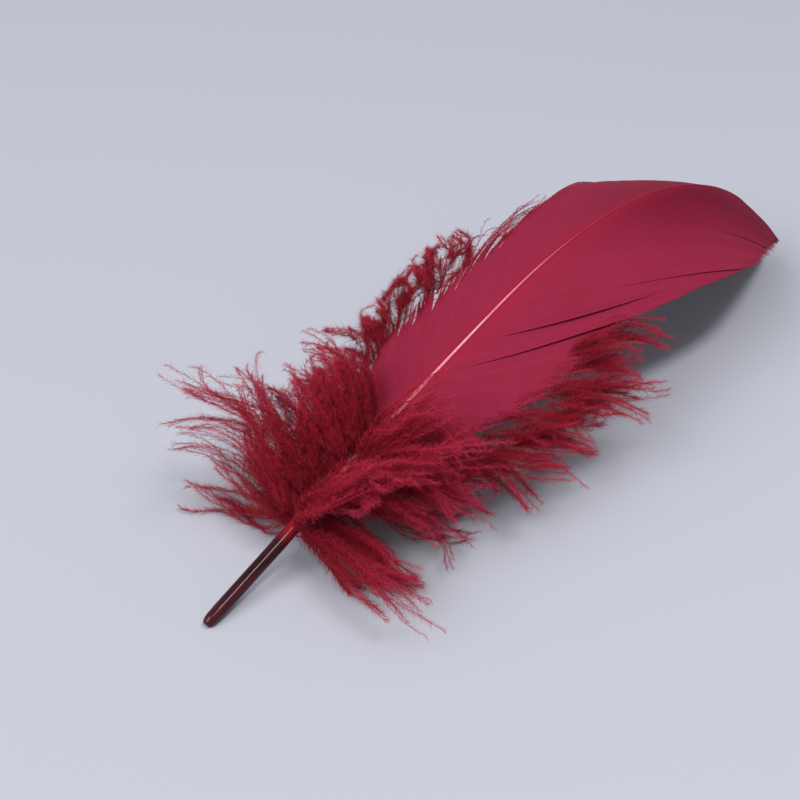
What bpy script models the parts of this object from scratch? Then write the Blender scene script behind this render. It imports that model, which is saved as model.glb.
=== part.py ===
"""A dyed goose feather that lies convex side up on a level surface.

It is one grown piece: a blunt quill, a shaft that arches up and over, two vanes that slope away from the
shaft like a roof, and a tuft of down round the lower shaft. The quill end, the tip and the lowest down
touch the surface. X runs from quill to tip and Z is up. Sizes are in metres.
"""
import math

import bmesh
import bpy
import numpy as np

# Shaft: length along the curve and the way it arches
SHAFT_LENGTH = 0.165
CURVE_END = 0.180
CURVE_SAMPLES = 721
RISE_DEG = 18.75
TIP_PITCH_DEG = -47.85
BEND_FROM = 0.072
BEND_POWER = 1.25
YAW_DEG = -8.1
YAW_FROM = 0.036
CURL_FROM = 0.150
CURL_DEG = 16.0
CURL_POWER = 1.5
START_HEIGHT = 0.00058

# Shaft: radius at stations along it
SHAFT_SOLID_END = 0.1715
SHAFT_STATIONS = (0.0, 0.0006, 0.0016, 0.0180, 0.0225, 0.0300, 0.0420, 0.0700, 0.1100, 0.1500, 0.1715)
SHAFT_RADII = (0.00062, 0.00098, 0.00112, 0.00113, 0.00106, 0.00080, 0.00060, 0.00048, 0.00042, 0.00038,
               0.00032)
BLUNT_RINGS = 3
FIRST_EVEN_RING = 0.0045
SHAFT_RINGS = 36
SHAFT_SIDES = 8
PITH_FROM = 0.0195

# Vane: its slope away from the shaft and its thickness
ROOF_AT_SHAFT_DEG = 12.0
ROOF_AT_EDGE_DEG = 30.0
ROOF_WIDTH = 0.028
TIP_ROOF_FROM = 0.122
TIP_ROOF_LENGTH = 0.040
TIP_ROOF_EXTRA = 1.1
VANE_THICKNESS = 0.00062
EDGE_THICKNESS = 0.00040

# Vane: angle of the barbs to the shaft by root station, and the distance over which it would fall to zero
BARB_ANGLE_ROOTS = (0.036, 0.046, 0.0555, 0.080, 0.110, 0.140, 0.150, 0.158, 0.165)
BARB_ANGLE_DEG = (78.0, 58.0, 37.0, 34.0, 31.0, 28.0, 25.0, 19.0, 1.5)
BARB_TURN = 0.082
FIRST_BARB = 0.036
LONGEST_BARB = 0.060
BARB_SAMPLES = 241
VANE_ROWS = 34
VANE_COLUMNS = 7

# Vane: width at stations along the shaft, above and below the barb where the closed vane begins
MARGIN_STATIONS = (0.030, 0.080, 0.090, 0.100, 0.110, 0.120, 0.128, 0.134, 0.140, 0.146, 0.152, 0.157,
                   0.161, 0.165, 0.168, 0.1702, 0.1716)
MARGIN_WIDTHS = (0.0170, 0.0172, 0.0188, 0.0208, 0.0221, 0.0226, 0.0218, 0.0203, 0.0183, 0.0159, 0.0133,
                 0.0110, 0.0090, 0.0066, 0.0042, 0.0019, 0.0000)
BASAL_STATIONS = (0.036, 0.042, 0.050, 0.060, 0.076)
BASAL_WIDTHS = (0.0075, 0.0105, 0.0142, 0.0168, 0.0165)
RIGHT_BASAL_END = 0.0555
LEFT_BASAL_END = 0.0750

# Splits: root, shares of the barb where it opens and closes (OPEN to the edge), width, step in height
OPEN = 2.0
RIGHT_SPLITS = ((RIGHT_BASAL_END, 0.10, OPEN, 0.0009, -0.0012),
                (0.0625, 0.12, 0.70, 0.0008, -0.0008),
                (0.0695, 0.37, OPEN, 0.0006, -0.0005),
                (0.0980, 0.60, OPEN, 0.0005, -0.0004))
LEFT_SPLITS = ((0.0585, 0.35, OPEN, 0.0006, -0.0006),
               (0.0670, 0.30, OPEN, 0.0006, 0.0007),
               (LEFT_BASAL_END, 0.15, OPEN, 0.0008, -0.0009))
ROOT_SHIFT = 0.00004

# Down: shape of one lock
SEED = 41
LOCK_SIDES = 5
LOCK_RINGS = 6
LOCK_RADIUS = 0.00200
LOCK_ROOT_RADIUS = 0.00056
LOCK_TIP_RADIUS = 0.00026
LOCK_ROOT_SWELL = 0.55
LOCK_SWELL_END = 0.71
LOCK_TAPER_POWER = 0.6
LOCK_LIFT = 0.95
DROOP_POWER = 1.5
SWING_TURN = 4.2
PHASES = (0.0, 2.0)

# Down: locks round the lower shaft
SHAFT_LOCKS = 46
LOCK_FROM = 0.0190
LOCK_TO = 0.0405
SHAFT_LOCK_LENGTHS = (0.023, 0.034)
FULLNESS = (0.80, 0.30)
FULLNESS_SHIFT = 0.15
SHAFT_LOCK_LEANS_DEG = (56.0, 108.0)
LEAN_TURN = 0.618
LEAN_SPREAD_DEG = 5.0
LEAN_FALL_DEG = 26.0
RAISED_DEG = (-22.0, 12.0, 44.0)
RAISED_SPREAD_DEG = 9.0
SHAFT_LOCK_DROOPS = (0.5, 1.1)
SHAFT_LOCK_CURLS = (0.35, 0.95)

# Down: locks along the lower edge of each vane
EDGE_LOCKS = 10
EDGE_LOCK_FROM = 0.0375
EDGE_LOCK_TO = 0.0530
EDGE_LOCK_INSET = 0.004
EDGE_LOCK_LENGTHS = (0.017, 0.026)
EDGE_LOCK_DROOPS = (0.2, 0.7)
EDGE_LOCK_CURLS = (0.3, 0.8)
EDGE_LOCK_LIFT = 0.05

# Colours, as linear light
QUILL_COLOUR = (0.030, 0.008, 0.012, 1.0)
PITH_COLOUR = (0.190, 0.006, 0.010, 1.0)
VANE_COLOUR = (0.330, 0.032, 0.075, 1.0)
DOWN_COLOUR = (0.150, 0.008, 0.018, 1.0)
QUILL_ROUGHNESS = 0.22
PITH_ROUGHNESS = 0.35
VANE_ROUGHNESS = 0.45
DOWN_ROUGHNESS = 0.80
SHARP_DEG = 40.0


def clear_scene():
    """Remove everything that a new file starts with."""
    for item in list(bpy.data.objects):
        bpy.data.objects.remove(item, do_unlink=True)


def make_material(name, colour, roughness):
    """A surface with one colour and one roughness."""
    material = bpy.data.materials.new(name)
    material.use_nodes = True
    shader = material.node_tree.nodes["Principled BSDF"]
    shader.inputs["Base Color"].default_value = colour
    shader.inputs["Roughness"].default_value = roughness
    shader.inputs["Metallic"].default_value = 0.0
    return material


def shaft_curve():
    """Stations, points, tangents, left-hand sides and ups along the shaft.

    The pitch keeps its rise up to BEND_FROM and then falls with a power of the distance, and falls faster
    where the tip curls down, from CURL_FROM on. The heading turns evenly from YAW_FROM on. The points are
    the running sum of the tangents.
    """
    stations = np.linspace(0.0, CURVE_END, CURVE_SAMPLES)
    share = np.clip((stations - BEND_FROM) / (SHAFT_LENGTH - BEND_FROM), 0.0, None)
    curl = np.clip((stations - CURL_FROM) / (SHAFT_LENGTH - CURL_FROM), 0.0, None)
    pitch_deg = RISE_DEG + (TIP_PITCH_DEG - RISE_DEG) * share ** BEND_POWER - CURL_DEG * curl ** CURL_POWER
    pitch = np.radians(pitch_deg)
    turned = np.clip((stations - YAW_FROM) / (SHAFT_LENGTH - YAW_FROM), 0.0, None)
    yaw = np.radians(YAW_DEG) * turned
    tangents = np.stack([np.cos(pitch) * np.cos(yaw), np.cos(pitch) * np.sin(yaw), np.sin(pitch)], axis=1)
    step = stations[1] - stations[0]
    moves = np.cumsum((tangents[1:] + tangents[:-1]) * 0.5 * step, axis=0)
    points = np.concatenate([np.zeros((1, 3)), moves])
    points[:, 2] += START_HEIGHT
    lefts = np.stack([-np.sin(yaw), np.cos(yaw), np.zeros_like(yaw)], axis=1)
    return stations, points, tangents, lefts, np.cross(tangents, lefts)


STATIONS, POINTS, TANGENTS, LEFTS, UPS = shaft_curve()


def along(table, station):
    """Values of one of the curve's tables at the given stations."""
    station = np.asarray(station, dtype=float)
    columns = [np.interp(station, STATIONS, table[:, axis]) for axis in range(3)]
    return np.stack(columns, axis=-1)


def vane_point(station, width, hand):
    """Point and normal of the vane's middle surface, at a width out from the shaft at a station.

    The slope grows evenly with the width, so a cross-section is a circular arc. It grows faster near the
    tip, where the edges curl down.
    """
    slope_start = math.radians(ROOF_AT_SHAFT_DEG)
    near_tip = np.clip((np.asarray(station, dtype=float) - TIP_ROOF_FROM) / TIP_ROOF_LENGTH, 0.0, 1.0)
    growth = (math.radians(ROOF_AT_EDGE_DEG) - slope_start) / ROOF_WIDTH * (1.0 + TIP_ROOF_EXTRA * near_tip)
    slope = slope_start + growth * np.asarray(width, dtype=float)
    out = (np.sin(slope) - math.sin(slope_start)) / growth
    drop = (math.cos(slope_start) - np.cos(slope)) / growth
    left = along(LEFTS, station)
    up = along(UPS, station)
    point = along(POINTS, station) + hand * out[..., None] * left - drop[..., None] * up
    normal = np.cos(slope)[..., None] * up + hand * np.sin(slope)[..., None] * left
    return point, normal


def barb_path(root, distance):
    """Station, width and angle of a barb at a distance from its root.

    The barb's angle to the shaft falls evenly with the distance, so the path is a circular arc.
    """
    angle = np.radians(np.interp(root, BARB_ANGLE_ROOTS, BARB_ANGLE_DEG))
    bend = angle / BARB_TURN
    here = angle - bend * distance
    station = root + (np.sin(angle) - np.sin(here)) / bend
    width = (np.cos(here) - np.cos(angle)) / bend
    return station, width, here


def barb_length(root, basal_end):
    """Distance along a barb at which it first reaches the margin of the vane.

    Barbs below basal_end stop at the narrower margin of the lower vane.
    """
    distance = np.linspace(0.0, LONGEST_BARB, BARB_SAMPLES)
    station, width, here = barb_path(root, distance)
    if root < basal_end:
        margin = np.interp(station, BASAL_STATIONS, BASAL_WIDTHS)
    else:
        margin = np.interp(station, MARGIN_STATIONS, MARGIN_WIDTHS)
    beyond = np.nonzero(width >= margin)[0]
    return distance[beyond[0]] if len(beyond) else LONGEST_BARB


def vane_rows(splits):
    """Roots of the barb rows, with the row nearest to each split moved onto it, and the split of each row."""
    roots = np.linspace(FIRST_BARB, SHAFT_LENGTH, VANE_ROWS)
    owner = {}
    for split in splits:
        row = int(np.argmin(np.abs(roots - split[0])))
        roots[row] = split[0]
        owner[row] = split
    return roots, owner


def split_opening(split, share):
    """How far a split has opened at a share of the barb: a sine that ends at the edge or back at zero."""
    opens, closes = split[1], split[2]
    if closes == OPEN:
        return math.sin(0.5 * math.pi * (share - opens) / (1.0 - opens))
    return math.sin(math.pi * (share - opens) / (closes - opens))


def vane_sheet(hand, basal_end, splits):
    """Points, normals and half thicknesses of one vane's middle surface, and its quads.

    Rows are barbs and columns are places along them. Where a row is split it has two points in a column,
    moved apart across the barb, with one above the other.
    """
    roots, owner = vane_rows(splits)
    shares = np.linspace(0.0, 1.0, VANE_COLUMNS)
    points = []
    first = np.zeros((VANE_ROWS, VANE_COLUMNS), dtype=int)
    last = np.zeros((VANE_ROWS, VANE_COLUMNS), dtype=int)
    for row, root in enumerate(roots):
        split = owner.get(row)
        for column, share in enumerate(shares):
            is_open = split is not None and split[1] < share < split[2]
            opening = split_opening(split, share) if is_open else 0.0
            first[row, column] = len(points)
            for side in ((0.5, -0.5) if is_open else (0.0,)):
                own_root = root - side * ROOT_SHIFT
                station, width, here = barb_path(own_root, share * barb_length(own_root, basal_end))
                gap = split[3] * opening * side if is_open else 0.0
                lift = split[4] * opening * side if is_open else 0.0
                station -= math.sin(here) * gap
                width = max(width + math.cos(here) * gap, 0.0)
                place, normal = vane_point(station, width, hand)
                half = 0.5 * (VANE_THICKNESS + (EDGE_THICKNESS - VANE_THICKNESS) * share)
                points.append((place + normal * lift, normal, half))
            last[row, column] = len(points) - 1
    quads = []
    for row in range(VANE_ROWS - 1):
        for column in range(VANE_COLUMNS - 1):
            corners = [last[row, column], last[row, column + 1],
                       first[row + 1, column + 1], first[row + 1, column]]
            quads.append(corners if hand < 0 else corners[::-1])
    return points, quads


def thick_sheet(points, quads):
    """A closed solid round a middle surface: a top, a bottom and a rim along every open edge.

    No point goes below the surface that the feather lies on.
    """
    place = np.array([item[0] for item in points])
    normal = np.array([item[1] for item in points])
    half = np.array([item[2] for item in points])[:, None]
    top = place + normal * half
    bottom = place - normal * half
    bottom[:, 2] = np.maximum(bottom[:, 2], 0.0)
    top[:, 2] = np.maximum(top[:, 2], bottom[:, 2] + half[:, 0])
    count = len(points)
    faces = [list(quad) for quad in quads]
    faces += [[corner + count for corner in quad[::-1]] for quad in quads]
    directed = set()
    for quad in quads:
        directed.update(zip(quad, quad[1:] + quad[:1]))
    for start, end in sorted(directed):
        if (end, start) not in directed:
            faces.append([end, start, start + count, end + count])
    return np.concatenate([top, bottom]), faces


def tube(centres, radii, sides, start_side):
    """A closed tube round a line of centres, with its rings turned as little as possible on the way."""
    count = len(centres)
    ahead = np.gradient(centres, axis=0)
    ahead /= np.linalg.norm(ahead, axis=1)[:, None]
    side = np.array(start_side, dtype=float)
    angles = 2.0 * math.pi * np.arange(sides) / sides
    rings = []
    for row in range(count):
        side = side - ahead[row] * np.dot(side, ahead[row])
        side = side / np.linalg.norm(side)
        other = np.cross(ahead[row], side)
        ring = np.cos(angles)[:, None] * side + np.sin(angles)[:, None] * other
        rings.append(centres[row] + radii[row] * ring)
    faces = [list(range(sides))[::-1]]
    for row in range(count - 1):
        for corner in range(sides):
            following = (corner + 1) % sides
            faces.append([row * sides + corner, row * sides + following,
                          (row + 1) * sides + following, (row + 1) * sides + corner])
    faces.append([(count - 1) * sides + corner for corner in range(sides)])
    return np.concatenate(rings), faces


def shaft_tube():
    """Quill and shaft as one tube, with rings close together at the blunt end."""
    evenly = np.linspace(FIRST_EVEN_RING, SHAFT_SOLID_END, SHAFT_RINGS - BLUNT_RINGS)
    stations = np.concatenate([SHAFT_STATIONS[:BLUNT_RINGS], evenly])
    radii = np.interp(stations, SHAFT_STATIONS, SHAFT_RADII)
    return tube(along(POINTS, stations), radii, SHAFT_SIDES, UPS[0])


def lock_line(start, heading, droop, curl, length, phase):
    """Centre line of a lock that starts along a heading, sags, and curls from side to side.

    The heading turns down with a power of the distance, and swings with a sine that grows outwards.
    """
    share = np.linspace(0.0, 1.0, LOCK_RINGS)
    heading = heading / np.linalg.norm(heading)
    across = np.cross(heading, (0.0, 0.0, 1.0))
    across /= np.linalg.norm(across)
    swing = curl * share * np.sin(phase + SWING_TURN * share)
    direction = heading[None, :] + across[None, :] * swing[:, None]
    direction[:, 2] -= droop * share ** DROOP_POWER
    direction /= np.linalg.norm(direction, axis=1)[:, None]
    step = length / (LOCK_RINGS - 1)
    moves = np.cumsum((direction[1:] + direction[:-1]) * 0.5 * step, axis=0)
    return np.concatenate([start[None, :], start[None, :] + moves])


def lock_tube(line):
    """A lock round its centre line, thick near the middle and fine at the tip, lying on the surface."""
    share = np.linspace(0.0, 1.0, LOCK_RINGS)
    bulge = np.sin(math.pi * np.clip(share / LOCK_SWELL_END, 0.0, 1.0))
    swell = LOCK_ROOT_SWELL + (1.0 - LOCK_ROOT_SWELL) * bulge
    radii = np.maximum(LOCK_RADIUS * swell * (1.0 - share) ** LOCK_TAPER_POWER, LOCK_TIP_RADIUS)
    radii[0] = LOCK_ROOT_RADIUS
    line = line.copy()
    line[:, 2] = np.maximum(line[:, 2], radii * LOCK_LIFT)
    return tube(line, radii, LOCK_SIDES, (0.0, 0.0, 1.0))


def shaft_locks(random):
    """Locks round the lower shaft, left and right in turn and at three heights round it.

    Their leans take every part of the range in turn, so that no two neighbours point the same way.
    """
    tubes = []
    for number in range(SHAFT_LOCKS):
        hand = 1 if number % 2 else -1
        share = number / (SHAFT_LOCKS - 1)
        root = LOCK_FROM + (LOCK_TO - LOCK_FROM) * share
        low, high = SHAFT_LOCK_LEANS_DEG
        turn = (number // 2 * LEAN_TURN) % 1.0
        spread = random.uniform(-LEAN_SPREAD_DEG, LEAN_SPREAD_DEG)
        lean = math.radians(low + (high - low) * turn + spread - LEAN_FALL_DEG * share)
        height = RAISED_DEG[(number // 2) % len(RAISED_DEG)]
        raised = math.radians(height + random.uniform(-RAISED_SPREAD_DEG, RAISED_SPREAD_DEG))
        outwards = math.cos(raised) * hand * along(LEFTS, root) + math.sin(raised) * along(UPS, root)
        heading = math.cos(lean) * along(TANGENTS, root) + math.sin(lean) * outwards
        fullness = FULLNESS[0] + FULLNESS[1] * math.sin(math.pi * min(share + FULLNESS_SHIFT, 1.0))
        length = random.uniform(*SHAFT_LOCK_LENGTHS) * fullness
        droop = random.uniform(*SHAFT_LOCK_DROOPS)
        curl = random.uniform(*SHAFT_LOCK_CURLS) * random.choice((-1.0, 1.0))
        phase = random.uniform(*PHASES)
        tubes.append(lock_tube(lock_line(along(POINTS, root), heading, droop, curl, length, phase)))
    return tubes


def edge_locks(random):
    """Locks that carry on from the ends of the lowest barbs of each vane."""
    tubes = []
    for hand, basal_end in ((-1, RIGHT_BASAL_END), (1, LEFT_BASAL_END)):
        for root in np.linspace(EDGE_LOCK_FROM, EDGE_LOCK_TO, EDGE_LOCKS):
            station, width, here = barb_path(root, barb_length(root, basal_end) - EDGE_LOCK_INSET)
            start, normal = vane_point(station, width, hand)
            tangent = along(TANGENTS, station)
            sideways = np.cross(normal, tangent) * hand
            heading = math.cos(here) * tangent + math.sin(here) * sideways + EDGE_LOCK_LIFT * normal
            length = random.uniform(*EDGE_LOCK_LENGTHS)
            droop = random.uniform(*EDGE_LOCK_DROOPS)
            curl = random.uniform(*EDGE_LOCK_CURLS) * random.choice((-1.0, 1.0))
            phase = random.uniform(*PHASES)
            tubes.append(lock_tube(lock_line(start, heading, droop, curl, length, phase)))
    return tubes


def mesh_object(name, vertices, faces, material):
    """An object with one mesh and one material."""
    mesh = bpy.data.meshes.new(name)
    mesh.from_pydata([tuple(float(value) for value in vertex) for vertex in vertices], [], faces)
    mesh.materials.append(material)
    mesh.update()
    item = bpy.data.objects.new(name, mesh)
    bpy.context.scene.collection.objects.link(item)
    return item


def join_solid(base, other):
    """Add another solid to the base by an exact union, with its colour, and remove it."""
    modifier = base.modifiers.new("union", "BOOLEAN")
    modifier.operation = "UNION"
    modifier.solver = "EXACT"
    modifier.object = other
    modifier.material_mode = "TRANSFER"
    bpy.context.view_layer.objects.active = base
    bpy.ops.object.modifier_apply(modifier=modifier.name)
    bpy.data.objects.remove(other, do_unlink=True)


def paint_shaft(item, pith):
    """Give the faces of the shaft beyond PITH_FROM the colour of the red pith."""
    item.data.materials.append(pith)
    start = along(POINTS, PITH_FROM)[0]
    for face in item.data.polygons:
        face.material_index = 1 if face.center[0] > start else 0


def fill_pockets(item):
    """Keep only the largest connected surface, so that pockets shut in between crossing locks are filled."""
    solid = bmesh.new()
    solid.from_mesh(item.data)
    waiting = set(solid.verts)
    pieces = []
    while waiting:
        reached = {waiting.pop()}
        front = list(reached)
        while front:
            vertex = front.pop()
            for edge in vertex.link_edges:
                other = edge.other_vert(vertex)
                if other not in reached:
                    reached.add(other)
                    front.append(other)
        waiting -= reached
        pieces.append(reached)
    pieces.sort(key=len)
    for piece in pieces[:-1]:
        bmesh.ops.delete(solid, geom=list(piece), context="VERTS")
    solid.to_mesh(item.data)
    solid.free()


def settle(item):
    """Put no point below the surface, and the middle of the bounding box's underside at the origin."""
    mesh = item.data
    flat = np.empty(len(mesh.vertices) * 3)
    mesh.vertices.foreach_get("co", flat)
    places = flat.reshape(-1, 3)
    places[:, 2] = np.maximum(places[:, 2], 0.0)
    middle = 0.5 * (places.min(axis=0) + places.max(axis=0))
    places[:, :2] -= middle[:2]
    mesh.vertices.foreach_set("co", places.ravel())
    mesh.update()


def build():
    """Make the feather."""
    clear_scene()
    quill = make_material("quill horn", QUILL_COLOUR, QUILL_ROUGHNESS)
    pith = make_material("shaft pith", PITH_COLOUR, PITH_ROUGHNESS)
    vane = make_material("vane barbs", VANE_COLOUR, VANE_ROUGHNESS)
    down = make_material("down", DOWN_COLOUR, DOWN_ROUGHNESS)

    vertices, faces = shaft_tube()
    feather = mesh_object("feather", vertices, faces, quill)
    paint_shaft(feather, pith)

    for name, hand, basal_end, splits in (("right vane", -1, RIGHT_BASAL_END, RIGHT_SPLITS),
                                          ("left vane", 1, LEFT_BASAL_END, LEFT_SPLITS)):
        points, quads = vane_sheet(hand, basal_end, splits)
        vertices, faces = thick_sheet(points, quads)
        join_solid(feather, mesh_object(name, vertices, faces, vane))

    random = np.random.default_rng(SEED)
    for vertices, faces in shaft_locks(random) + edge_locks(random):
        join_solid(feather, mesh_object("lock", vertices, faces, down))

    fill_pockets(feather)
    settle(feather)
    feather.data.shade_smooth()
    feather.data.set_sharp_from_angle(angle=math.radians(SHARP_DEG))


build()
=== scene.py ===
# %% [markdown]
# # A dyed goose feather, barb by barb
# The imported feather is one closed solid. This lesson keeps its place and outline, and shows it as what a
# feather is made of: a horny quill that runs on as the shaft, hundreds of barbs laid side by side in two
# vanes, and soft down round the lower shaft. Each step says what the real thing is and how it is made here.

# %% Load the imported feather
import math

import bpy
import numpy as np
from mathutils import Matrix, Vector


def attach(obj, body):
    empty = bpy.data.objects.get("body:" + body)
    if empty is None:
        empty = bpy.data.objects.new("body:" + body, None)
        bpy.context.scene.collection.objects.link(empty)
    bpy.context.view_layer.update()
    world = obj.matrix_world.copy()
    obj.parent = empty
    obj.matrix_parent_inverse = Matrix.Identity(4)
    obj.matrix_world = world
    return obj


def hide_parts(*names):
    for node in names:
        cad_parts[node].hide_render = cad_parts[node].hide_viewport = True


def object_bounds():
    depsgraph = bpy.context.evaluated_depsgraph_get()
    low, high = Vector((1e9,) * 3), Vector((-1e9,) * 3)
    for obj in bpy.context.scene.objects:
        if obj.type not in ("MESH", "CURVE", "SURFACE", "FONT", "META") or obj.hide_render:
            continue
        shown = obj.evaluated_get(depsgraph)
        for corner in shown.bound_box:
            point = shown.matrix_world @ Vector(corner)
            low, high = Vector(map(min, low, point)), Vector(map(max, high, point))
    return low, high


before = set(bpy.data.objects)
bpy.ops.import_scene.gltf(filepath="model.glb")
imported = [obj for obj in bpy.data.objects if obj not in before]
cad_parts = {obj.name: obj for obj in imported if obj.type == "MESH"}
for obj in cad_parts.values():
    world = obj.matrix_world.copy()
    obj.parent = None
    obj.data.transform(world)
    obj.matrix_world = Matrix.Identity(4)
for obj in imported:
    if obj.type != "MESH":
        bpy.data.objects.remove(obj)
cad_low, cad_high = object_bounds()
print("packed feather, low corner", [round(v, 4) for v in cad_low], "high", [round(v, 4) for v in cad_high])

# %% [markdown]
# The shaft is a curve in space: it rises, arches over and comes down at the tip, and turns a little to the
# right. It could be a spline, but pitch and heading as functions of the length along it say the same in a few
# numbers, and every barb can be hung on it by its station.

# %% The shaft as a curve
SHAFT_LENGTH = 0.165
CURVE_END = 0.180
CURVE_SAMPLES = 1441
RISE_DEG = 18.75
TIP_PITCH_DEG = -47.85
BEND_FROM = 0.072
BEND_POWER = 1.25
YAW_DEG = -8.1
YAW_FROM = 0.036
CURL_FROM = 0.150
CURL_DEG = 16.0
CURL_POWER = 1.5
START_HEIGHT = 0.00058
QUILL_END_X = float(cad_low[0]) + 0.0002
QUILL_END_Y = 0.00001


def share_beyond(stations, start):
    """0 up to the station start, then growing evenly to 1 at the shaft's length, and on past it."""
    return np.clip((stations - start) / (SHAFT_LENGTH - start), 0.0, None)


def shaft_curve():
    """Stations, points, tangents, left-hand sides and ups along the shaft.

    The pitch falls with a power of the distance from BEND_FROM on, and faster where the tip curls. The
    heading turns evenly from YAW_FROM on. The points are the running sum of the tangents.
    """
    stations = np.linspace(0.0, CURVE_END, CURVE_SAMPLES)
    bend = (TIP_PITCH_DEG - RISE_DEG) * share_beyond(stations, BEND_FROM) ** BEND_POWER
    pitch = np.radians(RISE_DEG + bend - CURL_DEG * share_beyond(stations, CURL_FROM) ** CURL_POWER)
    yaw = np.radians(YAW_DEG) * share_beyond(stations, YAW_FROM)
    tangents = np.stack([np.cos(pitch) * np.cos(yaw), np.cos(pitch) * np.sin(yaw), np.sin(pitch)], axis=1)
    moves = np.cumsum((tangents[1:] + tangents[:-1]) * 0.5 * (stations[1] - stations[0]), axis=0)
    points = np.concatenate([np.zeros((1, 3)), moves]) + np.array([QUILL_END_X, QUILL_END_Y, START_HEIGHT])
    lefts = np.stack([-np.sin(yaw), np.cos(yaw), np.zeros_like(yaw)], axis=1)
    return stations, points, tangents, lefts, np.cross(tangents, lefts)


STATIONS, POINTS, TANGENTS, LEFTS, UPS = shaft_curve()


def along(table, station):
    """Values of one of the curve's tables at stations of any array shape."""
    station = np.asarray(station, dtype=float)
    return np.stack([np.interp(station, STATIONS, table[:, axis]) for axis in range(3)], axis=-1)


crest = POINTS[POINTS[:, 2].argmax()]
print("shaft crest at", crest.round(4), "tip at", along(POINTS, SHAFT_LENGTH).round(4))

# %% [markdown]
# Everything hair-like here is many strands, each a line of centres with a small section carried along it.
# Hair curves aren't mesh, so the strands are built as whole arrays. Their triangles come first.

# %% Triangles of closed tubes
TINY = 1e-12


def unit(vectors):
    """Vectors scaled to length one."""
    return vectors / np.maximum(np.linalg.norm(vectors, axis=-1, keepdims=True), TINY)


def strand_faces(count, rings, sides):
    """Triangles of count closed tubes: two per side quad and a fan over each end, facing outwards."""
    ring = np.arange(rings - 1)[:, None]
    side = np.arange(sides)[None, :]
    low = ring * sides + side
    low_next = ring * sides + (side + 1) % sides
    first = np.stack([low, low_next, low_next + sides], axis=-1).reshape(-1, 3)
    second = np.stack([low, low_next + sides, low + sides], axis=-1).reshape(-1, 3)
    fan = np.arange(1, sides - 1)
    start = np.stack([np.zeros_like(fan), fan + 1, fan], axis=-1)
    end = np.stack([np.zeros_like(fan), fan, fan + 1], axis=-1) + (rings - 1) * sides
    one = np.concatenate([first, second, start, end])
    return (np.arange(count)[:, None, None] * rings * sides + one[None]).reshape(-1, 3)


print("triangles of a tube with three rings of four", len(strand_faces(1, 3, 4)))

# %% [markdown]
# Building a large mesh face by face is slow, so foreach_set takes each kind of data as one flat array. Every
# vertex also carries two numbers in a UV map, its place along the strand and the strand's own number.

# %% Arrays into a mesh
def mesh_piece(name, vertices, faces, shades):
    """A smooth mesh object from whole arrays, with a two-number map per vertex kept as its UV map."""
    mesh = bpy.data.meshes.new(name)
    corners = faces.shape[1]
    mesh.vertices.add(len(vertices))
    mesh.loops.add(faces.size)
    mesh.polygons.add(len(faces))
    mesh.vertices.foreach_set("co", np.ascontiguousarray(vertices, dtype=np.float32).ravel())
    mesh.loops.foreach_set("vertex_index", faces.astype(np.int32).ravel())
    mesh.polygons.foreach_set("loop_start", np.arange(0, faces.size, corners, dtype=np.int32))
    mesh.polygons.foreach_set("loop_total", np.full(len(faces), corners, dtype=np.int32))
    mesh.polygons.foreach_set("use_smooth", np.ones(len(faces), dtype=bool))
    mesh.update(calc_edges=True)
    layer = mesh.uv_layers.new(name="OFBake")
    layer.data.foreach_set("uv", shades[faces.ravel()].astype(np.float32).ravel())
    item = bpy.data.objects.new(name, mesh)
    bpy.context.scene.collection.objects.link(item)
    return item


def crease(piece, sides, points):
    """Mark the edges along the given points of the section as sharp, so that light breaks there."""
    mesh = piece.data
    ends = np.empty(len(mesh.edges) * 2, dtype=np.int32)
    mesh.edges.foreach_get("vertices", ends)
    corner = ends.reshape(-1, 2) % sides
    sharp = (corner[:, 0] == corner[:, 1]) & np.isin(corner[:, 0], points)
    mesh.attributes.new("sharp_edge", "BOOLEAN", "EDGE").data.foreach_set("value", sharp)


# %% [markdown]
# A section is carried along a line by two directions square to it at each ring. They come from the line's
# own direction and from a given up, so that a flat section doesn't twist.

# %% A section along each strand
LOWEST = 0.00001


def strands(name, centres, ups, section, shades):
    """One closed piece out of many strands.

    centres is strands by rings by 3, and ups the direction of the section's second axis. section is strands
    by rings by points by 2, counter-clockwise as seen from the tip. shades is strands by rings by 2.
    """
    ahead = unit(np.gradient(centres, axis=1))
    across = unit(np.cross(ups, ahead))
    rise = np.cross(ahead, across)
    vertices = (centres[:, :, None, :] + section[..., 0:1] * across[:, :, None, :]
                + section[..., 1:2] * rise[:, :, None, :])
    vertices[..., 2] = np.maximum(vertices[..., 2], LOWEST)
    count, rings, sides = section.shape[:3]
    spread = np.broadcast_to(shades[:, :, None, :], (count, rings, sides, 2)).reshape(-1, 2)
    piece = mesh_piece(name, vertices.reshape(-1, 3), strand_faces(count, rings, sides), spread)
    print(name, "strands", count, "triangles", len(piece.data.polygons))
    return piece


# %% [markdown]
# A vane slopes away from the shaft like a roof that steepens towards its eaves. It could be a drawn grid of
# points. As a formula of station and width out, it lets each barb be laid on it by two numbers.

# %% The vane as a sloping surface
ROOF_AT_SHAFT_DEG = 12.0
ROOF_AT_EDGE_DEG = 30.0
ROOF_WIDTH = 0.028
TIP_ROOF_FROM = 0.122
TIP_ROOF_LENGTH = 0.040


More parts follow.
